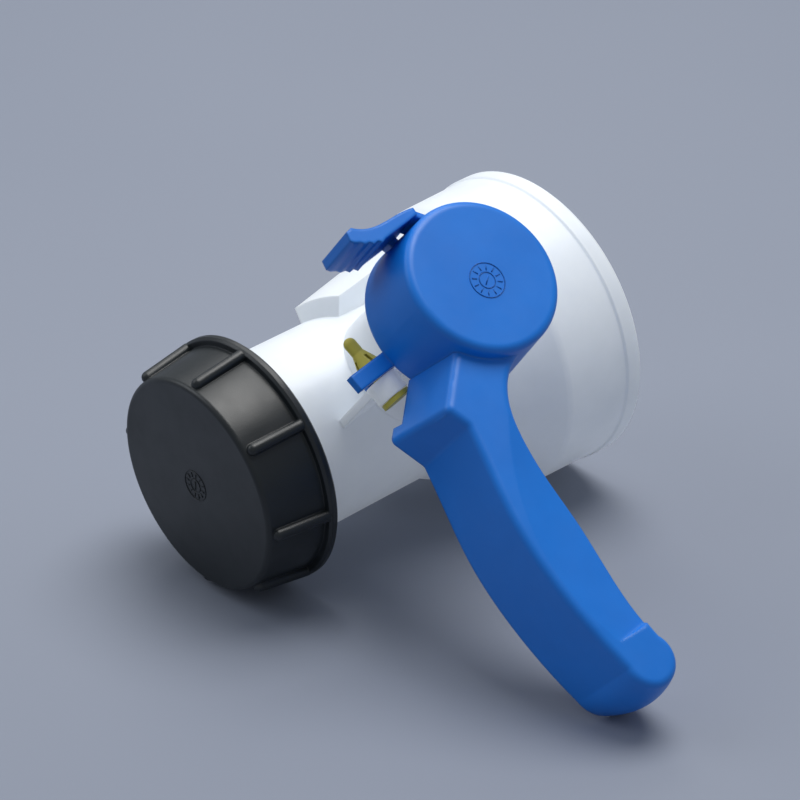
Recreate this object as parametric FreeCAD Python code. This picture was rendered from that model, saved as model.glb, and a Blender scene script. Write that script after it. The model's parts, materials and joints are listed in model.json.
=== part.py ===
import FreeCAD, Part
import math
import os

# DN50 butterfly outlet valve for an intermediate bulk container, with screw cap,
# side handle, spring latch and security pin. Millimetres.
#
# Every piece is first made in the valve's own frame: X runs along the pipe towards
# the outlet cap, Z runs up the stem towards the handle's round boss, and the shut
# handle points along +Y. rest() then lays the valve down as it lies on a table.

V = FreeCAD.Vector

# ---------------------------------------------------------------- driving dimensions
# pipe body
BORE_R = 25.5            # flow bore
NECK_WALL = 4.5
NECK_R = BORE_R + NECK_WALL  # outside of the S60 neck
MOUTH_X = 63.6           # outlet mouth, from the stem axis
THREAD_DEPTH = 1.8
THREAD_ROOT_R = NECK_R - THREAD_DEPTH  # root of the S60x6 thread, under the cap
THREAD_START_X = 47.2
CONE_START_X = -6.0      # neck ends and the shoulder cone begins
CONE_END_X = -42.0
CONE_END_R = 48.4
RING_R = 49.0            # tank-side ring, outside
RING_WALL = 4.4
RING_END_X = -72.2       # tank-side weld face
RIM_STEP = 0.6           # the weld rim stands this proud of the ring
RIM_WIDTH = 6.0
SHOULDER_FILLET = 5.0
THROAT_X = -9.0          # the bore starts to widen towards the tank
THROAT_END_X = -44.0

# cheek on the side away from the handle
CHEEK_FRONT_X = 12.2     # front face at the height of the pipe axis
CHEEK_LEAN = 21.5        # the front face leans back this much
CHEEK_FRONT_R = NECK_R + 4.7
CHEEK_REAR_X = -28.0
CHEEK_REAR_R = NECK_R + 12.2
CHEEK_LOW = 12.0         # the cheek spans these angles above the valve's side
CHEEK_HIGH = 39.0

# handle boss
BOSS_TOP_Z = 88.9
BOSS_BASE_Z = 61.0
BOSS_BASE_R = 25.8
BOSS_TAPER = 1.4         # the boss is this much slimmer at the top
BOSS_WALL = 2.9
BOSS_BORE_R = BOSS_BASE_R - BOSS_WALL
BOSS_PLATE = 4.0
BOSS_FILLET = 2.4
HUB_R = 10.0
HUB_BASE_Z = 75.2

# stem housing on top and trunnion underneath
HOUSING_TOP_Z = 72.0
INDEX_GAP = 0.5
INDEX_R = BOSS_BORE_R - INDEX_GAP  # notched ring that the latch's pawl faces
INDEX_HEIGHT = 6.0
INDEX_NOTCH_DEPTH = 1.3
INDEX_FLANGE = 3.9
INDEX_CONE = 4.0
HOUSING_R = INDEX_R - INDEX_FLANGE
HOUSING_FOOT = 0.5       # the housing is this much wider where it meets the neck
TRUNNION_R = 10.5
TRUNNION_END_Z = -41.0

# stem, bushes and seals
STEM_R = 6.0
RUN_GAP = 0.06           # radial running clearance
BUSH_WALL = 2.4
BUSH_LENGTH = 9.0
BUSH_FLANGE_R = 12.0
BUSH_FLANGE = 1.6
WASHER_THICKNESS = 1.4
SEAL_BORE_R = 6.9
O_RING_CORD = 1.1        # half of the O-ring's section
O_RING_ZS = (40.0, 46.0)
PIVOT_R = 5.0
PIVOT_TOP_Z = -9.0
PIVOT_END_Z = -37.0
PIVOT_O_RING_Z = -29.5
SQUARE = 9.0             # driving square at the top of the stem
STEM_TOP_Z = 82.6
SNAP_RING_Z = 78.6
SNAP_RING_HEIGHT = 1.2

# butterfly disc and its seat
DISC_GAP = 0.9           # between the disc's edge and the bore
DISC_R = BORE_R - DISC_GAP
DISC_EDGE = 4.2          # thickness at the rim
DISC_MIDDLE = 7.0
DISC_HUB_R = 9.0
SEAT_DEPTH = 1.7
SEAT_GROOVE_R = BORE_R + SEAT_DEPTH
SEAT_WIDTH = 11.0
SEAT_GAP = 0.08
PIN_R = 1.6              # cross pins through the disc's hub
DISC_PIN_ZS = (14.0, -14.0)

# screw cap
CAP_REAR_X = 45.7
CAP_FLANGE = 3.2
CAP_CLEARANCE = 0.35
CAP_WALL = 7.05          # down to the thread's root
CAP_FLANGE_PROUD = 2.7
CAP_TAPER = 2.5
CAP_BORE_R = NECK_R + CAP_CLEARANCE
CAP_WALL_REAR_R = CAP_BORE_R + CAP_WALL
CAP_WALL_FRONT_R = CAP_WALL_REAR_R - CAP_TAPER
CAP_FLANGE_R = CAP_WALL_REAR_R + CAP_FLANGE_PROUD
CAP_FRONT_X = 68.6
CAP_FACE = 2.9
CAP_EDGE_FILLET = 1.6
CAP_RIBS = 8
CAP_RIB_R = 1.9
CAP_RIB_PROUD = 0.9      # rib axis above the wall
CAP_RIB_FIRST = 82.0     # azimuth of the first rib
CAP_RIB_FRONT_X = 67.3
GASKET_THICKNESS = 2.0
GASKET_INNER_R = BORE_R - 1.5

# handle lever
LEVER_TOP_Z = 84.2
LEVER_BASE_Z = 56.2
LEVER_FLARE = 2.4        # the cap side widens this much towards the open underside
LEVER_ROOT_FLARE = 5.6   # and the slanted face beside the boss this much
LEVER_BACK_FLARE = 1.6
LEVER_END_DRAFT = 0.8    # the rounded end draws in this much towards the underside
LEVER_END_BULGE = 2.6    # and swells this much half way down
ROOT_RELIEF_R = 40.5     # inside this radius the underside is raised to clear the lug
ROOT_RELIEF_Z = 60.6
LEVER_WALL = 3.0
LEVER_EDGE = 2.2         # fillet along the top edges
LEVER_ROOT = (8.0, 12.0)           # inside the boss
LEVER_SHOULDER = (19.6, 15.6)      # where the slanted face leaves the boss
LEVER_CORNER = (33.0, 29.4)
LEVER_NOTCH = (29.6, 36.5)
GRIP_FRONT = ((31.6, 49.0), (34.2, 66.0), (34.0, 90.0), (29.0, 118.5))
GRIP_BACK = ((13.6, 114.6), (14.8, 105.0), (14.2, 76.0), (15.8, 48.0))
GRIP_END = (22.0, 127.0)
LEVER_NECK = ((11.0, 32.5), (0.5, 24.5))  # the back edge sweeps into the boss
GRIP_RIBS = 4
GRIP_RIB_FIRST = 44.0
RIB_WALL = 2.2
SCOOP_R = 300.0          # finger recess along the back of the grip
SCOOP_SLOPE = 0.22       # it deepens by this much per millimetre towards the back edge
SCOOP_EDGE_X = 32.0
SCOOP_MIDDLE_Y = 84.0
SCOOP_END_Y = 110.6      # the hook at the end of the grip starts here
SCOOP_END_LEAN = 25.0

# fork that holds the security pin, and the lug behind it
LOCK_AZIMUTH = 9.0
FORK_WIDTH = 5.2
FORK_REACH = BOSS_BORE_R + 17.1
FORK_TOP_Z = 61.4
FORK_PLATE = 2.8
LOWER_PRONG = 2.8
LOWER_PRONG_REACH = BOSS_BORE_R + 7.4
APRON_R = BOSS_BORE_R + 1.3
LUG_GAP = 0.2
LUG_RIB = 2.6
LUG_REACH = BOSS_BORE_R + 9.1
LUG_EYE_R = 5.2
LUG_EYE_LENGTH = 6.4

# security pin
LOCK_PIN_R = 2.0
LOCK_PIN_RADIUS = BOSS_BORE_R + 5.4  # distance of the pin's axis from the stem axis
LOCK_PIN_TIP = 12.8      # reach beyond the fork's middle
CROWN_R = 3.8
CROWN_LENGTH = 4.6
CROWN_GAP = 0.1          # the crown passes the lug's eye with this to spare
LOCK_HEAD_R = 4.8
LOCK_HEAD = 1.5
LOCK_GAP = 0.2

# latch
LATCH_BASE_Z = 66.0
LATCH_TOP_Z = 85.0
LATCH_PIVOT = (0.8, 1.3 - BOSS_BORE_R)
LATCH_OPEN = 10.0        # the latch swings this far outwards
KNUCKLE_R = 1.8
KNUCKLE_GAP = 0.08
KNUCKLE_BASE_Z = 73.6
SOCKET_R = 3.1
LATCH_NECK = 1.8
LATCH_ROOT = (6.2, -4.0 - BOSS_BORE_R)
LATCH_ROOT_THICKNESS = 2.2
LATCH_PAD = (19.0, -0.4 - BOSS_BORE_R)
LATCH_TIP = (30.0, -4.0 - BOSS_BORE_R)
LATCH_TIP_THICKNESS = 3.3
SERRATIONS = 4
SERRATION_DEPTH = 1.0
PAWL_AZIMUTH = -72.0
PAWL_WIDTH = 3.4
PAWL_HEIGHT = 4.6
PAWL_GAP = 0.25
PAWL_SIDE_GAP = 1.3

# how the valve lies on a table: on the cap flange, the weld rim and the grip's end
REST_LEAN = 41.90        # stem leans this far from upright towards the handle side
REST_DIP = 5.22          # pipe axis dips this much towards the cap


# ---------------------------------------------------------------- small helpers
def cylinder_x(radius, x0, x1):
    return Part.makeCylinder(radius, x1 - x0, V(x0, 0, 0), V(1, 0, 0))


def cylinder_z(radius, z0, z1, at=(0.0, 0.0)):
    return Part.makeCylinder(radius, z1 - z0, V(at[0], at[1], z0))


def block(x0, x1, y0, y1, z0, z1):
    return Part.makeBox(x1 - x0, y1 - y0, z1 - z0, V(x0, y0, z0))


def turn_z(shape, degrees):
    turned = shape.copy()
    turned.rotate(V(0, 0, 0), V(0, 0, 1), degrees)
    return turned


def face_from(points):
    return Part.Face(Part.makePolygon(points + [points[0]]))


def revolve_x(pairs, start=0.0, sweep=360.0):
    """Revolves (x, radius) pairs about the pipe axis, starting at an azimuth from +Y."""
    face = face_from([V(x, r, 0) for x, r in pairs])
    face.rotate(V(0, 0, 0), V(1, 0, 0), start)
    return face.revolve(V(0, 0, 0), V(1, 0, 0), sweep)


def revolve_z(pairs):
    """Revolves (radius, z) pairs about the stem axis."""
    return face_from([V(r, 0, z) for r, z in pairs]).revolve(V(0, 0, 0), V(0, 0, 1), 360)


def ring_x(inner, outer, x0, x1):
    return cylinder_x(outer, x0, x1).cut(cylinder_x(inner, x0 - 1, x1 + 1))


def ring_z(inner, outer, z0, z1):
    return cylinder_z(outer, z0, z1).cut(cylinder_z(inner, z0 - 1, z1 + 1))


def circles_at(shape, x, radius, tolerance=0.05):
    """Full circles about the pipe axis that lie at x with the given radius."""
    found = []
    for edge in shape.Edges:
        curve = edge.Curve
        if isinstance(curve, Part.Circle) and abs(curve.Radius - radius) < tolerance:
            if abs(curve.Center.x - x) < tolerance and abs(curve.Axis.x) > 0.999:
                found.append(edge)
    return found


def at_lock(shape):
    """Moves a shape from the plain radial frame to the security pin's azimuth."""
    return turn_z(shape, LOCK_AZIMUTH)


def pin_along_y(radius, y0, y1):
    """Cylinder on the security pin's axis, before at_lock()."""
    return Part.makeCylinder(radius, y1 - y0, V(LOCK_PIN_RADIUS, y0, lock_pin_z()), V(0, 1, 0))


def lock_pin_z():
    return FORK_TOP_Z - FORK_PLATE - LOCK_GAP - CROWN_R


# ---------------------------------------------------------------- pipe body
def pipe_outside():
    ring_front = (CONE_END_X, CONE_END_R)
    rim_x = RING_END_X + RIM_WIDTH
    outside = revolve_x([
        (MOUTH_X, 0), (MOUTH_X, THREAD_ROOT_R - 1.0), (MOUTH_X - 1.0, THREAD_ROOT_R),
        (THREAD_START_X, THREAD_ROOT_R), (THREAD_START_X - 1.2, NECK_R), (CONE_START_X, NECK_R),
        ring_front, (rim_x + RIM_STEP, RING_R), (rim_x, RING_R + RIM_STEP),
        (RING_END_X + 1.0, RING_R + RIM_STEP), (RING_END_X, RING_R + RIM_STEP - 1.0), (RING_END_X, 0),
    ])
    bends = circles_at(outside, CONE_START_X, NECK_R) + circles_at(outside, *ring_front)
    return outside.makeFillet(SHOULDER_FILLET, bends)


def pipe_inside():
    ring_bore = RING_R - RING_WALL
    return revolve_x([
        (MOUTH_X + 1, 0), (MOUTH_X + 1, BORE_R), (THROAT_X, BORE_R), (THROAT_END_X, ring_bore),
        (RING_END_X - 1, ring_bore), (RING_END_X - 1, 0),
    ])


def cheek():
    """Raised wall on the latch side, with a front face that leans back towards the tank."""
    reach = CHEEK_FRONT_X + CHEEK_FRONT_R
    slope = (CHEEK_REAR_R - CHEEK_FRONT_R) / (CHEEK_REAR_X - CHEEK_FRONT_X)
    front_r = CHEEK_FRONT_R + slope * (reach - CHEEK_FRONT_X)
    wall = revolve_x([(reach, BORE_R + 2), (reach, front_r), (CHEEK_REAR_X, CHEEK_REAR_R),
                      (CHEEK_REAR_X, NECK_R)], 180 - CHEEK_HIGH, CHEEK_HIGH - CHEEK_LOW)
    size = 3 * reach
    front = block(CHEEK_FRONT_X, CHEEK_FRONT_X + size, -size, size, -size, size)
    front.rotate(V(CHEEK_FRONT_X, 0, 0), V(0, 1, 0), -CHEEK_LEAN)
    return wall.cut(front)


def housing():
    """Stem housing with the notched index ring under the handle's boss."""
    index_z = HOUSING_TOP_Z - INDEX_HEIGHT
    tower = revolve_z([
        (0, BORE_R - 1), (HOUSING_R + HOUSING_FOOT, BORE_R - 1), (HOUSING_R + HOUSING_FOOT, NECK_R + 1),
        (HOUSING_R, NECK_R + 7), (HOUSING_R, index_z - INDEX_CONE), (INDEX_R, index_z),
        (INDEX_R, HOUSING_TOP_Z - 1), (INDEX_R - 1, HOUSING_TOP_Z), (0, HOUSING_TOP_Z),
    ])
    notch = block(INDEX_R - INDEX_NOTCH_DEPTH, INDEX_R + 2, -PAWL_WIDTH / 2 - 0.4,
                  PAWL_WIDTH / 2 + 0.4, index_z - INDEX_CONE - 1, HOUSING_TOP_Z + 1)
    for azimuth in (PAWL_AZIMUTH, PAWL_AZIMUTH - 90):
        tower = tower.cut(turn_z(notch, azimuth))
    return tower


def lock_lug():
    """Lug on the neck that the fork stops against and the security pin passes through."""
    near = FORK_WIDTH / 2 + LUG_GAP
    far = near + LUG_EYE_LENGTH
    rib = block(HOUSING_R - 3, LUG_REACH, near, near + LUG_RIB, BORE_R + 1, lock_pin_z())
    eye = pin_along_y(LUG_EYE_R, near, far)
    hole = pin_along_y(CROWN_R + CROWN_GAP, near - 1, far + 1)
    return at_lock(rib.fuse(eye).cut(hole))


def trunnion():
    return cylinder_z(TRUNNION_R, TRUNNION_END_Z, -BORE_R + 1)


def stem_bores():
    """Everything that the stem, the bushes and the pivot pin need out of the body."""
    bush_r = STEM_R + RUN_GAP + BUSH_WALL
    pivot_bush_r = PIVOT_R + RUN_GAP + BUSH_WALL
    bores = cylinder_z(SEAL_BORE_R, 0, HOUSING_TOP_Z + 1)
    bores = bores.fuse(cylinder_z(bush_r, HOUSING_TOP_Z - BUSH_LENGTH, HOUSING_TOP_Z + 1))
    bores = bores.fuse(cylinder_z(bush_r, 0, lower_stem_bush_top()))
    return bores.fuse(cylinder_z(pivot_bush_r, PIVOT_END_Z - 0.3, 0))


def lower_stem_bush_top():
    return O_RING_ZS[0] - 3.0


def valve_body():
    body = pipe_outside().fuse([cheek(), housing(), lock_lug(), trunnion()])
    seat_groove = cylinder_x(SEAT_GROOVE_R, -SEAT_WIDTH / 2, SEAT_WIDTH / 2)
    return body.cut([pipe_inside(), seat_groove, stem_bores()]).removeSplitter()


# ---------------------------------------------------------------- seals and bushes
def seat_ring():
    """Rubber seat in the bore's groove, with holes for the stem and the pivot pin."""
    half = SEAT_WIDTH / 2
    ring = revolve_x([
        (-half, DISC_R + SEAT_GAP + 1.0), (-half, SEAT_GROOVE_R), (half, SEAT_GROOVE_R),
        (half, DISC_R + SEAT_GAP + 1.0), (half - 2.5, DISC_R + SEAT_GAP), (2.5 - half, DISC_R + SEAT_GAP),
    ])
    return ring.cut([cylinder_z(STEM_R + 0.2, 0, NECK_R), cylinder_z(PIVOT_R + 0.2, -NECK_R, 0)])


def stem_bush():
    """Flanged bush at the top of the housing."""
    top = HOUSING_TOP_Z
    return ring_z(STEM_R + RUN_GAP, STEM_R + RUN_GAP + BUSH_WALL, top - BUSH_LENGTH, top).fuse(
        ring_z(STEM_R + RUN_GAP, BUSH_FLANGE_R, top, top + BUSH_FLANGE)).removeSplitter()


def inner_bush():
    """Plain bush between the seat ring and the O-rings."""
    return ring_z(STEM_R + RUN_GAP, STEM_R + RUN_GAP + BUSH_WALL, SEAT_GROOVE_R + 0.5, lower_stem_bush_top())


def pivot_bush():
    return ring_z(PIVOT_R + RUN_GAP, PIVOT_R + RUN_GAP + BUSH_WALL, PIVOT_END_Z + 0.2, PIVOT_O_RING_Z - 1.8)


def thrust_washer():
    base = HOUSING_TOP_Z + BUSH_FLANGE + 0.05
    return ring_z(STEM_R + 0.3, BUSH_FLANGE_R, base, base + WASHER_THICKNESS)


def o_ring(z, groove_r):
    middle = groove_r + O_RING_CORD + 0.02
    return Part.makeTorus(middle, O_RING_CORD, V(0, 0, z))


def groove(z, groove_r):
    half = O_RING_CORD + 0.25
    return ring_z(groove_r, STEM_R + 3, z - half, z + half)


# ---------------------------------------------------------------- stem, pivot and disc
def seal_groove_r():
    return SEAL_BORE_R - 0.06 - 2 * O_RING_CORD


def drive_stem():
    """Upper shaft: disc end, journal with two seal grooves, driving square on top."""
    square_z = HOUSING_TOP_Z + BUSH_FLANGE + WASHER_THICKNESS + 0.3
    shaft = cylinder_z(STEM_R, 9.0, square_z)
    half = SQUARE / 2
    drive = block(-half, half, -half, half, square_z - 0.5, STEM_TOP_Z)
    drive = drive.common(revolve_z([(0, square_z - 0.5), (STEM_R, square_z - 0.5),
                                    (STEM_R, STEM_TOP_Z - 1), (STEM_R - 1, STEM_TOP_Z), (0, STEM_TOP_Z)]))
    shaft = shaft.fuse(drive)
    for z in O_RING_ZS:
        shaft = shaft.cut(groove(z, seal_groove_r()))
    shaft = shaft.cut(ring_z(SQUARE / 2 - 0.9, STEM_R + 1, SNAP_RING_Z, SNAP_RING_Z + SNAP_RING_HEIGHT))
    return shaft.cut(cross_hole(DISC_PIN_ZS[0])).removeSplitter()


def pivot_pin():
    """Lower shaft that carries the disc in the trunnion."""
    pin = cylinder_z(PIVOT_R, PIVOT_END_Z + 0.6, PIVOT_TOP_Z)
    pin = pin.cut(ring_z(pivot_groove_r(), PIVOT_R + 3, PIVOT_O_RING_Z - 1.3, PIVOT_O_RING_Z + 1.3))
    return pin.cut(cross_hole(DISC_PIN_ZS[1]))


def pivot_groove_r():
    return PIVOT_R + RUN_GAP + BUSH_WALL - 0.06 - 2 * O_RING_CORD


def cross_hole(z):
    return Part.makeCylinder(PIN_R + 0.02, 4 * DISC_HUB_R, V(-2 * DISC_HUB_R, 0, z), V(1, 0, 0))


def butterfly_disc():
    """Lens-shaped disc whose rim is part of a sphere, so that it clears the seat as it turns."""
    edge, middle = DISC_EDGE / 2, DISC_MIDDLE / 2
    lens = revolve_x([(-middle, 0), (-middle, DISC_HUB_R), (-edge, DISC_R), (edge, DISC_R),
                      (middle, DISC_HUB_R), (middle, 0)])
    hub = cylinder_z(DISC_HUB_R, -DISC_R + 1.2, DISC_R - 1.2)
    disc = lens.fuse(hub).common(Part.makeSphere(DISC_R))
    holes = [cylinder_z(STEM_R + 0.02, 8.8, NECK_R), cylinder_z(PIVOT_R + 0.02, -NECK_R, PIVOT_TOP_Z + 0.2)]
    return disc.cut(holes + [cross_hole(z) for z in DISC_PIN_ZS])


def disc_pins():
    """Two cross pins, one through the stem and one through the pivot pin."""
    half = DISC_HUB_R - 0.6
    return Part.makeCompound([
        Part.makeCylinder(PIN_R, 2 * half, V(-half, 0, z), V(1, 0, 0)) for z in DISC_PIN_ZS
    ])


def snap_ring():
    """Open ring in the stem's groove that keeps the handle on the square."""
    ring = ring_z(SQUARE / 2 - 0.85, STEM_R + 0.6, SNAP_RING_Z + 0.1, SNAP_RING_Z + SNAP_RING_HEIGHT - 0.1)
    return ring.cut(block(0, STEM_R + 2, -1.2, 1.2, SNAP_RING_Z, SNAP_RING_Z + SNAP_RING_HEIGHT))


# ---------------------------------------------------------------- screw cap
def cap_rib(azimuth):
    """Half-round grip rib that follows the cap's taper and ends in a small ball."""
    rear = V(CAP_REAR_X + CAP_FLANGE - 0.5, CAP_WALL_REAR_R + CAP_RIB_PROUD, 0)
    front = V(CAP_RIB_FRONT_X - CAP_RIB_R, CAP_WALL_FRONT_R + CAP_RIB_PROUD, 0)
    along = front - rear
    rib = Part.makeCylinder(CAP_RIB_R, along.Length, rear, along).fuse(Part.makeSphere(CAP_RIB_R, front))
    rib.rotate(V(0, 0, 0), V(1, 0, 0), azimuth)
    return rib


def screw_cap():
    flange_x = CAP_REAR_X + CAP_FLANGE
    shell = revolve_x([
        (CAP_REAR_X, 0), (CAP_REAR_X, CAP_FLANGE_R - 0.8), (CAP_REAR_X + 0.8, CAP_FLANGE_R),
        (flange_x - 0.8, CAP_FLANGE_R), (flange_x, CAP_FLANGE_R - 0.8), (flange_x, CAP_WALL_REAR_R),
        (CAP_FRONT_X, CAP_WALL_FRONT_R), (CAP_FRONT_X, 0),
    ])
    shell = shell.makeFillet(CAP_EDGE_FILLET, circles_at(shell, CAP_FRONT_X, CAP_WALL_FRONT_R))
    ribs = [cap_rib(CAP_RIB_FIRST + 360.0 / CAP_RIBS * i) for i in range(CAP_RIBS)]
    inside = cylinder_x(CAP_BORE_R, CAP_REAR_X - 1, CAP_FRONT_X - CAP_FACE)
    inside = inside.fuse(revolve_x([(CAP_REAR_X - 0.1, 0), (CAP_REAR_X - 0.1, CAP_BORE_R + 0.9),
                                    (CAP_REAR_X + 1.0, CAP_BORE_R - 0.1), (CAP_REAR_X + 1.0, 0)]))
    return shell.fuse(ribs).cut(inside).removeSplitter()


def cap_gasket():
    rear = MOUTH_X + 0.03
    return ring_x(GASKET_INNER_R, CAP_BORE_R - 0.15, rear, rear + GASKET_THICKNESS)


# ---------------------------------------------------------------- handle
def boss_shell():
    """Round boss, tapered, with a rounded top edge and a hub for the stem's square."""
    top_r = BOSS_BASE_R - BOSS_TAPER
    solid = revolve_z([(0, BOSS_BASE_Z), (BOSS_BASE_R, BOSS_BASE_Z), (top_r, BOSS_TOP_Z), (0, BOSS_TOP_Z)])
    top = [e for e in solid.Edges if isinstance(e.Curve, Part.Circle) and abs(e.Curve.Center.z - BOSS_TOP_Z) < 0.01]
    return solid.makeFillet(BOSS_FILLET, top)


def boss_hollow():
    hollow = cylinder_z(BOSS_BORE_R, BOSS_BASE_Z - 1, BOSS_TOP_Z - BOSS_PLATE)
    return hollow.cut(cylinder_z(HUB_R, HUB_BASE_Z, BOSS_TOP_Z))


def hub_socket():
    half = SQUARE / 2 + 0.04
    socket = block(-half, half, -half, half, HUB_BASE_Z - 1, STEM_TOP_Z + 0.4)
    ring = cylinder_z(STEM_R + 0.7, SNAP_RING_Z, SNAP_RING_Z + SNAP_RING_HEIGHT)
    return socket.fuse(ring).fuse(cylinder_z(STEM_R + 0.3, HUB_BASE_Z - 1, HUB_BASE_Z + 0.3))


def lever_outline(z, share, inset=0.0):
    """Closed plan outline of the lever at a height, where share is 1 at the open underside."""
    flare, back_flare = share * LEVER_FLARE, share * LEVER_BACK_FLARE
    root_flare, draft = share * LEVER_ROOT_FLARE, share * LEVER_END_DRAFT
    bulge = 4 * share * (1 - share) * LEVER_END_BULGE

    def cap_side(x, y):
        return V(x + flare - inset, y, z)

    def back_side(x, y):
        return V(x - back_flare + inset, y, z)

    def slanted(x, y):
        return V(x + 0.73 * root_flare - inset, y - 0.68 * root_flare, z)

    root = V(LEVER_ROOT[0], LEVER_ROOT[1], z)
    corner = slanted(*LEVER_CORNER)
    shoulder = slanted(LEVER_SHOULDER[0], LEVER_SHOULDER[1] + inset)
    notch = cap_side(*LEVER_NOTCH)
    tip_front = cap_side(GRIP_FRONT[-1][0], GRIP_FRONT[-1][1] - draft)
    tip_back = back_side(GRIP_BACK[0][0], GRIP_BACK[0][1] - draft)
    back_root = back_side(LEVER_NECK[-1][0], LEVER_NECK[-1][1] - 0.6 * inset)
    front = Part.BSplineCurve()
    front.interpolate([notch] + [cap_side(*p) for p in GRIP_FRONT[:-1]] + [tip_front])
    tip = Part.Arc(tip_front, V(GRIP_END[0], GRIP_END[1] + bulge - draft - inset, z), tip_back)
    back = Part.BSplineCurve()
    back.interpolate([tip_back] + [back_side(*p) for p in GRIP_BACK[1:]]
                     + [back_side(*LEVER_NECK[0]), back_root])
    edges = [
        Part.LineSegment(root, shoulder).toShape(),
        Part.LineSegment(shoulder, corner).toShape(),
        Part.LineSegment(corner, notch).toShape(),
        front.toShape(), tip.toShape(), back.toShape(),
        Part.LineSegment(back_root, root).toShape(),
    ]
    return Part.Wire(edges)


def lever_plan(base_z, top_z, inset=0.0):
    middle_z = (base_z + top_z) / 2
    sections = [lever_outline(base_z, 1.0, inset), lever_outline(middle_z, 0.5, inset),
                lever_outline(top_z, 0.0, inset)]
    return Part.makeLoft(sections, True, False)


def edges_at_z(shape, z):
    return [e for e in shape.Edges if abs(e.BoundBox.ZMin - z) < 0.05 and abs(e.BoundBox.ZMax - z) < 0.05]


def upright_edges(shape, z, spots):
    """Long upright edges whose upper ends are at the given plan positions."""
    found = []
    for edge in shape.Edges:
        ends = [edge.valueAt(edge.FirstParameter), edge.valueAt(edge.LastParameter)]
        top = max(ends, key=lambda point: point.z)
        if abs(top.z - z) < 0.05 and abs(ends[0].z - ends[1].z) > 1.0:
            if any(math.hypot(top.x - x, top.y - y) < 0.5 for x, y in spots):
                found.append(edge)
    return found


def lever_solid():
    plan = lever_plan(LEVER_BASE_Z, LEVER_TOP_Z)
    corners = upright_edges(plan, LEVER_TOP_Z, (LEVER_CORNER, LEVER_NOTCH))
    rounded = plan.makeFillet(LEVER_EDGE, edges_at_z(plan, LEVER_TOP_Z) + corners)
    relief = cylinder_z(ROOT_RELIEF_R, LEVER_BASE_Z - 1, ROOT_RELIEF_Z)
    return rounded.cut([relief, finger_scoop()])


def lever_hollow():
    """Open underside of the lever, with cross ribs left standing."""
    top_z = LEVER_TOP_Z - LEVER_WALL
    plan = lever_plan(LEVER_BASE_Z - 1, top_z, LEVER_WALL)
    hollow = plan.cut([cylinder_z(BOSS_BASE_R + 2, LEVER_BASE_Z - 5, BOSS_TOP_Z), finger_scoop(LEVER_WALL)])
    pitch = (GRIP_END[1] - GRIP_RIB_FIRST) / GRIP_RIBS
    for i in range(GRIP_RIBS):
        y = GRIP_RIB_FIRST + pitch * i
        hollow = hollow.cut(block(-10, 60, y, y + RIB_WALL, LEVER_BASE_Z + 2.5, LEVER_TOP_Z))
    return hollow


def finger_scoop(drop=0.0):
    """Long shallow recess that deepens towards the back edge and ends at the hook."""
    lowest = V(0, SCOOP_MIDDLE_Y, LEVER_TOP_Z - SCOOP_SLOPE * SCOOP_EDGE_X - drop)
    upright = V(-SCOOP_SLOPE, 0, 1).normalize()
    drum = Part.makeCylinder(SCOOP_R, 3 * SCOOP_EDGE_X, lowest + upright * SCOOP_R, V(1, 0, SCOOP_SLOPE))
    reach = 3 * LEVER_EDGE + SCOOP_SLOPE * SCOOP_EDGE_X
    end_y = SCOOP_END_Y + drop
    hook = block(-20, 90, end_y, end_y + SCOOP_R, LEVER_TOP_Z - SCOOP_R, LEVER_TOP_Z + SCOOP_R)
    hook.rotate(V(0, end_y, LEVER_TOP_Z), V(1, 0, 0), -SCOOP_END_LEAN)
    near = block(-20, 90, 0, GRIP_END[1], LEVER_TOP_Z - reach - drop, LEVER_TOP_Z + reach)
    return drum.common(near).cut(hook)


def fork():
    """Two prongs on an apron below the skirt, above and below the security pin."""
    half = FORK_WIDTH / 2
    lower_z = lock_pin_z() - CROWN_R - LOCK_GAP
    upper = block(APRON_R - 1, FORK_REACH, -half, half, FORK_TOP_Z - FORK_PLATE, FORK_TOP_Z)
    lower = block(APRON_R - 1, LOWER_PRONG_REACH, -half, half, lower_z - LOWER_PRONG, lower_z)
    apron = block(BOSS_BORE_R - 1, APRON_R + 1, -half, half, lower_z - LOWER_PRONG, BOSS_BASE_Z + 1)
    apron = apron.common(ring_z(BOSS_BORE_R, APRON_R, lower_z - LOWER_PRONG, BOSS_BASE_Z + 1))
    return at_lock(upper.fuse([lower, apron]))


def latch_neck(swing=0.0, gap=0.0):
    """Flat neck from the knuckle out through the boss wall to the latch's root."""
    (px, py), (rx, ry) = LATCH_PIVOT, LATCH_ROOT
    half = LATCH_NECK / 2 + gap
    length = math.hypot(rx - px, ry - py) + 3 * gap
    neck = Part.makeBox(length, 2 * half, LATCH_TOP_Z - KNUCKLE_BASE_Z - 0.6 + 2 * gap,
                        V(px, py - half, KNUCKLE_BASE_Z - gap))
    neck.rotate(V(px, py, 0), V(0, 0, 1), math.degrees(math.atan2(ry - py, rx - px)) - swing)
    return neck


def latch_socket():
    """Thick place inside the boss wall that holds the latch's knuckle."""
    top = BOSS_TOP_Z - BOSS_PLATE + 0.5
    return cylinder_z(SOCKET_R, KNUCKLE_BASE_Z - 0.8, top, LATCH_PIVOT).common(boss_shell())


def latch_socket_bore():
    bore = cylinder_z(KNUCKLE_R + KNUCKLE_GAP, KNUCKLE_BASE_Z - 0.2, LATCH_TOP_Z - 0.4, LATCH_PIVOT)
    return bore.fuse([latch_neck(swing, 0.35) for swing in (0.0, LATCH_OPEN)])


def pawl_window():
    half = PAWL_WIDTH / 2 + PAWL_SIDE_GAP
    index_z = HOUSING_TOP_Z - INDEX_HEIGHT
    window = block(BOSS_BORE_R - 1, BOSS_BASE_R + 2, -half, half, index_z - 0.4, index_z + PAWL_HEIGHT + 1.2)
    return turn_z(window, PAWL_AZIMUTH)


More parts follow.
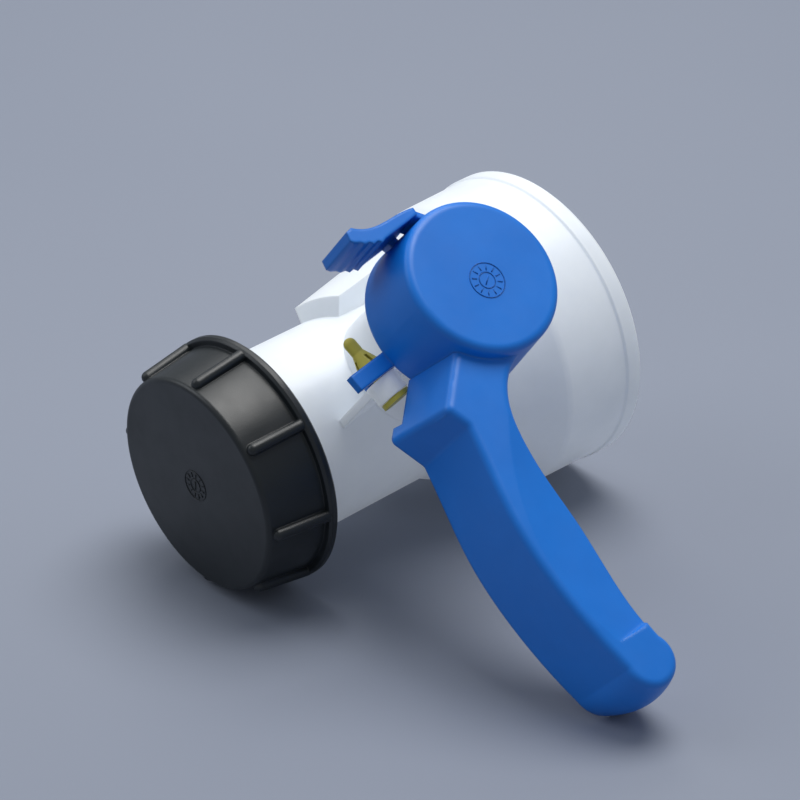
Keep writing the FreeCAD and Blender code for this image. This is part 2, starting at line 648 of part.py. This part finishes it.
def handle():
    boss = boss_shell().cut(boss_hollow())
    lever = lever_solid().cut(cylinder_z(BOSS_BORE_R, 0, BOSS_TOP_Z - BOSS_PLATE)).cut(lever_hollow())
    body = boss.fuse([lever, fork(), latch_socket()])
    return body.cut([hub_socket(), latch_socket_bore(), pawl_window()]).removeSplitter()


# ---------------------------------------------------------------- latch
def latch_outline():
    """Plan of the latch: root, arm, serrated finger pad and rounded outer side."""
    rx, ry = LATCH_ROOT
    half = LATCH_ROOT_THICKNESS / 2
    inner = [V(rx - 1.0, ry + half, 0), V(LATCH_PAD[0], LATCH_PAD[1], 0)]
    pitch = (LATCH_TIP[0] - LATCH_PAD[0]) / SERRATIONS
    for i in range(1, SERRATIONS + 1):
        share = float(i) / SERRATIONS
        y = LATCH_PAD[1] + (LATCH_TIP[1] - LATCH_PAD[1]) * share ** 2
        inner += [V(LATCH_PAD[0] + pitch * (i - 0.35), y + SERRATION_DEPTH, 0),
                  V(LATCH_PAD[0] + pitch * i, y, 0)]
    tip_low = V(LATCH_TIP[0] - 0.4, LATCH_TIP[1] - LATCH_TIP_THICKNESS + 0.4, 0)
    tip_back = V(LATCH_TIP[0] - 2.6, LATCH_TIP[1] - LATCH_TIP_THICKNESS - 0.2, 0)
    root_back = V(rx - 1.0, ry - half, 0)
    inner += [tip_low, tip_back]
    back = Part.BSplineCurve()
    back.interpolate([tip_back, V(LATCH_PAD[0] + 2.4, LATCH_PAD[1] - 4.6, 0),
                      V((LATCH_PAD[0] + rx) / 2, ry - half - 0.1, 0), root_back])
    edges = [Part.LineSegment(a, b).toShape() for a, b in zip(inner, inner[1:])]
    edges += [back.toShape(), Part.LineSegment(root_back, inner[0]).toShape()]
    return Part.Wire(edges)


def latch_lever():
    """Sprung latch: knuckle in the boss, arm, ribbed finger pad, pawl over the index ring."""
    arm = Part.Face(latch_outline()).extrude(V(0, 0, LATCH_TOP_Z - LATCH_BASE_Z))
    arm.translate(V(0, 0, LATCH_BASE_Z))
    knuckle = cylinder_z(KNUCKLE_R, KNUCKLE_BASE_Z, LATCH_TOP_Z - 0.6, LATCH_PIVOT)
    index_z = HOUSING_TOP_Z - INDEX_HEIGHT
    pawl_end = math.hypot(LATCH_ROOT[0], LATCH_ROOT[1]) - 0.5
    pawl = block(INDEX_R + PAWL_GAP, pawl_end, -PAWL_WIDTH / 2, PAWL_WIDTH / 2,
                 index_z + 0.4, index_z + 0.4 + PAWL_HEIGHT)
    return arm.fuse([latch_neck(), knuckle, turn_z(pawl, PAWL_AZIMUTH)]).removeSplitter()


# ---------------------------------------------------------------- security pin
def lock_pin():
    """Yellow pin: head behind the lug, plain shank, slotted crown and a rounded tip."""
    crown_y = -FORK_WIDTH / 2 - LOCK_GAP
    head_y = FORK_WIDTH / 2 + LUG_GAP + LUG_EYE_LENGTH + LOCK_GAP
    z = lock_pin_z()
    tip_y = -LOCK_PIN_TIP + LOCK_PIN_R
    shank = pin_along_y(LOCK_PIN_R, tip_y, head_y + 0.5)
    tip = Part.makeSphere(LOCK_PIN_R, V(LOCK_PIN_RADIUS, tip_y, z))
    head = pin_along_y(LOCK_HEAD_R, head_y, head_y + LOCK_HEAD)
    crown = Part.makeCone(LOCK_PIN_R, CROWN_R, CROWN_LENGTH,
                          V(LOCK_PIN_RADIUS, crown_y - CROWN_LENGTH, z), V(0, 1, 0))
    slot_y0, slot_y1 = crown_y - CROWN_LENGTH * 0.6, crown_y + 1
    for across in (V(1, 0, 0), V(0, 0, 1)):
        wide = 2.2 * CROWN_R
        size = V(0.9, slot_y1 - slot_y0, wide) if across.z else V(wide, slot_y1 - slot_y0, 0.9)
        corner = V(LOCK_PIN_RADIUS - size.x / 2, slot_y0, z - size.z / 2)
        crown = crown.cut(Part.makeBox(size.x, size.y, size.z, corner))
    return at_lock(crown.fuse([shank, tip, head]).removeSplitter())


# ---------------------------------------------------------------- assembly
def rest(shape):
    """Lays the valve down: roll about the pipe, then dip towards the cap."""
    laid = shape.copy()
    laid.rotate(V(0, 0, 0), V(1, 0, 0), -REST_LEAN)
    laid.rotate(V(0, 0, 0), V(0, 1, 0), REST_DIP)
    return laid


def pieces():
    return {
        "valve_body": valve_body(),
        "seat_ring": seat_ring(),
        "stem_bush": stem_bush(),
        "inner_bush": inner_bush(),
        "pivot_bush": pivot_bush(),
        "thrust_washer": thrust_washer(),
        "stem_o_ring_lower": o_ring(O_RING_ZS[0], seal_groove_r()),
        "stem_o_ring_upper": o_ring(O_RING_ZS[1], seal_groove_r()),
        "pivot_o_ring": o_ring(PIVOT_O_RING_Z, pivot_groove_r()),
        "drive_stem": drive_stem(),
        "pivot_pin": pivot_pin(),
        "butterfly_disc": butterfly_disc(),
        "disc_pins": disc_pins(),
        "snap_ring": snap_ring(),
        "handle": handle(),
        "latch_lever": latch_lever(),
        "lock_pin": lock_pin(),
        "screw_cap": screw_cap(),
        "cap_gasket": cap_gasket(),
    }


def true_bounds(shapes):
    """Bounding box of the real surfaces, without the slack that curved faces add."""
    box = FreeCAD.BoundBox()
    for shape in shapes:
        for point in shape.tessellate(0.02)[0]:
            box.add(point)
    return box


def main():
    os.makedirs("parts", exist_ok=True)
    laid = {name: rest(shape) for name, shape in pieces().items()}
    box = true_bounds(laid.values())
    to_floor = V(-(box.XMin + box.XMax) / 2, -(box.YMin + box.YMax) / 2, -box.ZMin)
    for name, shape in laid.items():
        shape.translate(to_floor)
        shape.exportStep("parts/%s.step" % name)
        print("%-20s solids %d  volume %9.1f  valid %s"
              % (name, len(shape.Solids), shape.Volume, shape.isValid()))
    print("moved to the floor by", to_floor)


main()
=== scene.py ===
import json
import math

import bmesh
import bpy
from mathutils import Matrix, Vector


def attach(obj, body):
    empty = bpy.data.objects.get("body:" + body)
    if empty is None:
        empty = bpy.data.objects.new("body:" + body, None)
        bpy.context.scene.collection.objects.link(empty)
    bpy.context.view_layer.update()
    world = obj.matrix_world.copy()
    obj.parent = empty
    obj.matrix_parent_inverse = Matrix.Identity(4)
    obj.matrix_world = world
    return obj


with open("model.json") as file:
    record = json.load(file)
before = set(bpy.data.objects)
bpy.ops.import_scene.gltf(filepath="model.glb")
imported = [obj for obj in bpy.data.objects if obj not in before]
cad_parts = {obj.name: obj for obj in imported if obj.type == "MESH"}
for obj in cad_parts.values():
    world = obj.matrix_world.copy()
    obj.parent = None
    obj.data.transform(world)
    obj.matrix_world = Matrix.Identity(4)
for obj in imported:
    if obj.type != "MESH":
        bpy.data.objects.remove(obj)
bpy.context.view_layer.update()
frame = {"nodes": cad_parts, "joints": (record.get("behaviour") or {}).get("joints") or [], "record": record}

# ------------------------------------------------------------ the valve's own axes
# Details are worked out in millimetres in the valve's own frame: origin where the stem
# crosses the pipe, X along the pipe to the cap, Z up the stem, shut handle towards +Y.
JOINTS = {joint["name"]: joint for joint in frame["joints"]}
PIPE = Vector(JOINTS["cap_turn"]["axis"]).normalized()
STEM = Vector(JOINTS["handle_turn"]["axis"]).normalized()
SIDE = STEM.cross(PIPE)
CENTRE = Vector(JOINTS["handle_turn"]["pos_m"])
VALVE = Matrix.Translation(CENTRE) @ Matrix((PIPE, SIDE, STEM)).transposed().to_4x4() @ Matrix.Scale(0.001, 4)


# ------------------------------------------------------------ sizes of the details, mm
THREAD_PITCH = 6.0
NECK_ROOT_R = 28.2
NECK_CREST_R = 29.85
CAP_ROOT_R = 30.35
CAP_CREST_R = 28.75
BOSS_TOP_Z = 88.9
CAP_FACE_X = 68.6
BOSS_MARK = (0.0, 1.9)
BOSS_MARK_R = 5.6
CAP_MARK_R = 5.0
MARK_HEIGHT = 0.22
PAINTED_GLOW_STRENGTH = 0.13     # painted glow: even emission that brightens the whole body, its shaded sides too, standing in for light passing through thin natural HDPE


# ------------------------------------------------------------ node helpers
def new_material(name):
    material = bpy.data.materials.new(name)
    material.use_nodes = True
    tree = material.node_tree
    tree.nodes.clear()
    output = tree.nodes.new("ShaderNodeOutputMaterial")
    shader = tree.nodes.new("ShaderNodeBsdfPrincipled")
    tree.links.new(shader.outputs["BSDF"], output.inputs["Surface"])
    return material, tree, shader


def noise_node(tree, scale, detail=3.0, roughness=0.5):
    coordinates = tree.nodes.new("ShaderNodeTexCoord")
    texture = tree.nodes.new("ShaderNodeTexNoise")
    texture.inputs["Scale"].default_value = scale
    texture.inputs["Detail"].default_value = detail
    texture.inputs["Roughness"].default_value = roughness
    tree.links.new(coordinates.outputs["Object"], texture.inputs["Vector"])
    return texture.outputs["Fac"]


def mix_colours(tree, factor, low, high, start=0.35, end=0.65):
    ramp = tree.nodes.new("ShaderNodeValToRGB")
    ramp.color_ramp.elements[0].position = start
    ramp.color_ramp.elements[0].color = (*low, 1)
    ramp.color_ramp.elements[1].position = end
    ramp.color_ramp.elements[1].color = (*high, 1)
    tree.links.new(factor, ramp.inputs["Fac"])
    return ramp.outputs["Color"]


def remap(tree, value, low, high, start=0.3, end=0.7):
    node = tree.nodes.new("ShaderNodeMapRange")
    node.inputs["From Min"].default_value = start
    node.inputs["From Max"].default_value = end
    node.inputs["To Min"].default_value = low
    node.inputs["To Max"].default_value = high
    tree.links.new(value, node.inputs["Value"])
    return node.outputs["Result"]


def bump(tree, shader, heights, edge_radius):
    """Chains bumps of (height socket, distance in metres, strength) onto softly rounded edges."""
    rounded = tree.nodes.new("ShaderNodeBevel")
    rounded.samples = 6
    rounded.inputs["Radius"].default_value = edge_radius
    normal = rounded.outputs["Normal"]
    for height, distance, strength in heights:
        node = tree.nodes.new("ShaderNodeBump")
        node.inputs["Strength"].default_value = strength
        node.inputs["Distance"].default_value = distance
        tree.links.new(height, node.inputs["Height"])
        tree.links.new(normal, node.inputs["Normal"])
        normal = node.outputs["Normal"]
    tree.links.new(normal, shader.inputs["Normal"])


def moulded_plastic(name, dark, light, roughness, edge_radius=0.0006, grain=1.0, coat=0.0, glow=0.0):
    """Moulded plastic: cloudy tone, fine grain, uneven gloss, soft edges, faint scuffs."""
    material, tree, shader = new_material(name)
    cloud = noise_node(tree, 38.0, 4.0, 0.55)
    colour = mix_colours(tree, cloud, dark, light)
    tree.links.new(colour, shader.inputs["Base Color"])
    patches = noise_node(tree, 90.0, 5.0, 0.6)
    tree.links.new(remap(tree, patches, roughness * 0.86, roughness * 1.16), shader.inputs["Roughness"])
    fine = noise_node(tree, 2600.0, 2.0, 0.5)
    waves = noise_node(tree, 130.0, 2.0, 0.4)
    bump(tree, shader, [(waves, 0.0006, 0.05 * grain), (fine, 0.00006, 0.35 * grain)], edge_radius)
    shader.inputs["IOR"].default_value = 1.5
    shader.inputs["Coat Weight"].default_value = coat
    shader.inputs["Coat Roughness"].default_value = 0.25
    if glow:
        shader.inputs["Subsurface Weight"].default_value = glow
        shader.inputs["Subsurface Radius"].default_value = (1.0, 1.0, 1.1)
        shader.inputs["Subsurface Scale"].default_value = 0.004
        # painted glow: an even emission in the light tone brightens this plastic everywhere, shaded sides included
        shader.inputs["Emission Color"].default_value = (*light, 1)
        shader.inputs["Emission Strength"].default_value = PAINTED_GLOW_STRENGTH
    return material


def soft_rubber(name):
    material, tree, shader = new_material(name)
    cloud = noise_node(tree, 60.0, 4.0, 0.6)
    tree.links.new(mix_colours(tree, cloud, (0.012, 0.012, 0.013), (0.022, 0.022, 0.023)),
                   shader.inputs["Base Color"])
    tree.links.new(remap(tree, cloud, 0.55, 0.7), shader.inputs["Roughness"])
    bump(tree, shader, [(noise_node(tree, 1500.0), 0.00008, 0.4)], 0.0003)
    return material


def drawn_steel(name):
    material, tree, shader = new_material(name)
    streak = noise_node(tree, 800.0, 3.0, 0.6)
    tree.links.new(mix_colours(tree, streak, (0.46, 0.46, 0.47), (0.6, 0.6, 0.61)), shader.inputs["Base Color"])
    shader.inputs["Metallic"].default_value = 1.0
    tree.links.new(remap(tree, streak, 0.22, 0.36), shader.inputs["Roughness"])
    bump(tree, shader, [(streak, 0.00004, 0.2)], 0.0002)
    return material


MATERIALS = {
    # glow=0.35 gives the body subsurface light plus a painted glow
    "body_hdpe": moulded_plastic("natural_hdpe", (0.70, 0.745, 0.79), (0.76, 0.80, 0.84), 0.36, 0.0008, 0.6,
                                 glow=0.35),
    "blue_plastic": moulded_plastic("blue_plastic", (0.0015, 0.162, 0.640), (0.0025, 0.182, 0.700), 0.4, 0.0012, 0.8),
    "black_plastic": moulded_plastic("black_plastic", (0.0075, 0.0105, 0.0125), (0.011, 0.015, 0.0175), 0.37,
                                     0.0006, 1.3),
    "yellow_plastic": moulded_plastic("yellow_plastic", (0.50, 0.43, 0.055), (0.60, 0.53, 0.08), 0.4, 0.0003),
    "inner_plastic": moulded_plastic("inner_plastic", (0.62, 0.63, 0.62), (0.7, 0.71, 0.7), 0.45, 0.0004),
    "seal_rubber": soft_rubber("seal_rubber"),
    "steel": drawn_steel("drawn_steel"),
}


# ------------------------------------------------------------ mesh helpers
def piece_from(name, bm, body, slot, smooth=True):
    """Turns a bmesh in the valve's own millimetres into a piece that rides on a body."""
    bmesh.ops.recalc_face_normals(bm, faces=bm.faces)
    mesh = bpy.data.meshes.new(name)
    bm.to_mesh(mesh)
    bm.free()
    mesh.transform(VALVE)
    for polygon in mesh.polygons:
        polygon.use_smooth = smooth
    mesh.materials.append(MATERIALS[slot])
    piece = bpy.data.objects.new(name, mesh)
    bpy.context.scene.collection.objects.link(piece)
    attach(piece, body)
    return piece


def helix_ridge(start, turns, root_r, crest_r, root_width, crest_width, per_turn=96):
    """Buttress-like ridge wound about X as a right-hand thread, fading out at both ends."""
    bm = bmesh.new()
    steps = int(turns * per_turn)
    inward = crest_r < root_r
    bury = 0.4 if inward else -0.4
    rings = []
    for i in range(steps + 1):
        turn = i / per_turn
        fade = min(1.0, turn / 0.25, (turns - turn) / 0.25)
        crest = root_r + (crest_r - root_r) * max(fade, 0.02)
        x = start + THREAD_PITCH * turn
        angle = 2 * math.pi * turn
        profile = [(-root_width / 2, root_r + bury), (-root_width / 2, root_r), (-crest_width / 2, crest),
                   (crest_width / 2, crest), (root_width / 2, root_r), (root_width / 2, root_r + bury)]
        rings.append([bm.verts.new((x + dx, r * math.cos(angle), r * math.sin(angle))) for dx, r in profile])
    for a, b in zip(rings, rings[1:]):
        for j in range(len(a)):
            k = (j + 1) % len(a)
            bm.faces.new((a[j], a[k], b[k], b[j]))
    bm.faces.new(rings[0])
    bm.faces.new(list(reversed(rings[-1])))
    return bm


def add_ring(bm, place, radius, width, height, segments=96):
    """Low rounded ring on a flat face; place maps (u, v, height) to a point."""
    section = [(-width / 2, -0.15), (-width / 2, height * 0.5), (-width / 4, height),
               (width / 4, height), (width / 2, height * 0.5), (width / 2, -0.15)]
    loops = []
    for i in range(segments):
        a = 2 * math.pi * i / segments
        loops.append([bm.verts.new(place((radius + d) * math.cos(a), (radius + d) * math.sin(a), h))
                      for d, h in section])
    for i in range(segments):
        a, b = loops[i], loops[(i + 1) % segments]
        for j in range(len(section)):
            k = (j + 1) % len(section)
            bm.faces.new((a[j], a[k], b[k], b[j]))


def add_bar(bm, place, centre, length, width, angle, height):
    """Small raised bar with a narrower top."""
    along = Vector((math.cos(angle), math.sin(angle)))
    across = Vector((-along.y, along.x))
    layers = []
    for shrink, h in ((1.0, -0.15), (1.0, height * 0.5), (0.6, height)):
        ring = []
        for s, t in ((-1, -1), (1, -1), (1, 1), (-1, 1)):
            p = Vector(centre) + along * s * (length / 2 - (1 - shrink) * width / 2) + across * t * width / 2 * shrink
            ring.append(bm.verts.new(place(p.x, p.y, h)))
        layers.append(ring)
    for a, b in zip(layers, layers[1:]):
        for j in range(4):
            k = (j + 1) % 4
            bm.faces.new((a[j], a[k], b[k], b[j]))
    bm.faces.new(layers[0])
    bm.faces.new(layers[-1])


def dial_mark(place, radius, ticks, pointer):
    """Moulder's dial as many plastic parts carry: two rings, even ticks and one pointer."""
    bm = bmesh.new()
    add_ring(bm, place, radius, 0.35, MARK_HEIGHT)
    add_ring(bm, place, radius * 0.46, 0.35, MARK_HEIGHT)
    for i in range(ticks):
        a = 2 * math.pi * i / ticks
        middle = radius * 0.73
        add_bar(bm, place, (middle * math.cos(a), middle * math.sin(a)), radius * 0.3, 0.32, a, MARK_HEIGHT)
    add_bar(bm, place, (0, 0), radius * 0.6, 0.4, pointer, MARK_HEIGHT)
    return bm


# ------------------------------------------------------------ details
def on_boss(u, v, h):
    return Vector((BOSS_MARK[0] + u, BOSS_MARK[1] + v, BOSS_TOP_Z + h))


def on_cap(u, v, h):
    return Vector((CAP_FACE_X + h, u, v))


def make_details():
    piece_from("neck_thread", helix_ridge(50.3, 1.75, NECK_ROOT_R, NECK_CREST_R, 3.4, 1.1), "body", "body_hdpe")
    piece_from("cap_thread", helix_ridge(47.4, 2.4, CAP_ROOT_R, CAP_CREST_R, 2.3, 0.9), "cap", "black_plastic")
    piece_from("boss_dial", dial_mark(on_boss, BOSS_MARK_R, 12, 0.7), "handle_group", "blue_plastic")
    piece_from("cap_dial", dial_mark(on_cap, CAP_MARK_R, 12, 2.2), "cap", "black_plastic")


def dress_cad_nodes():
    slots = {part["node"]: part["material_slot"] for part in frame["record"]["subparts"]}
    for name, node in frame["nodes"].items():
        for i in range(max(1, len(node.material_slots))):
            if not node.material_slots:
                node.data.materials.append(MATERIALS[slots[name]])
            else:
                node.material_slots[i].material = MATERIALS[slots[name]]


# ------------------------------------------------------------ floor, light, camera
def floor():
    mesh = bpy.data.meshes.new("floor")
    bm = bmesh.new()
    bmesh.ops.create_grid(bm, x_segments=1, y_segments=1, size=6.0)
    bm.to_mesh(mesh)
    bm.free()
    plane = bpy.data.objects.new("floor", mesh)
    bpy.context.scene.collection.objects.link(plane)
    material, tree, shader = new_material("floor_paper")
    cloud = noise_node(tree, 3.0, 2.0, 0.4)
    tree.links.new(mix_colours(tree, cloud, (0.246, 0.272, 0.336), (0.255, 0.281, 0.345)), shader.inputs["Base Color"])
    shader.inputs["Roughness"].default_value = 0.6
    shader.inputs["Specular IOR Level"].default_value = 0.2
    mesh.materials.append(material)


def area_light(name, place, target, size, power, colour=(1, 1, 1)):
    light = bpy.data.lights.new(name, "AREA")
    light.shape = "DISK"
    light.size = size
    light.energy = power
    light.color = colour
    lamp = bpy.data.objects.new(name, light)
    lamp.location = place
    lamp.rotation_euler = (Vector(target) - Vector(place)).to_track_quat("-Z", "Y").to_euler()
    bpy.context.scene.collection.objects.link(lamp)


CAMERA_PLACE = Vector((0.54322, 0.58474, 0.48213))
CAMERA_AIM = Vector((-0.58205, -0.66683, -0.46535))
CAMERA_LENS = 135.0


def camera():
    data = bpy.data.cameras.new("camera")
    data.sensor_width = 36.0
    data.lens = CAMERA_LENS
    data.clip_end = 50.0
    eye = bpy.data.objects.new("camera", data)
    eye.location = CAMERA_PLACE
    eye.rotation_euler = CAMERA_AIM.to_track_quat("-Z", "Y").to_euler()
    bpy.context.scene.collection.objects.link(eye)
    bpy.context.scene.camera = eye


def lights():
    world = bpy.data.worlds.new("studio")
    bpy.context.scene.world = world
    world.use_nodes = True
    background = world.node_tree.nodes["Background"]
    background.inputs["Color"].default_value = (0.86, 0.92, 1.0, 1)
    background.inputs["Strength"].default_value = 0.34
    look = CAMERA_AIM.normalized()
    right = look.cross(Vector((0, 0, 1))).normalized()
    toward = Vector((look.x, look.y, 0)).normalized()
    target = Vector((0, 0, 0.05))
    area_light("key", target + right * 0.2 + toward * 0.25 + Vector((0, 0, 1.4)), target, 1.1, 18.0, (1.0, 0.99, 0.97))
    area_light("fill", target - right * 1.2 + toward * 0.2 + Vector((0, 0, 0.9)), target, 1.0, 4.5, (0.92, 0.95, 1.0))
    area_light("back", target + toward * 1.1 - right * 0.2 + Vector((0, 0, 1.1)), target, 0.8, 3.0)


dress_cad_nodes()
make_details()
floor()
camera()
lights()
bpy.context.scene.view_settings.view_transform = "Standard"
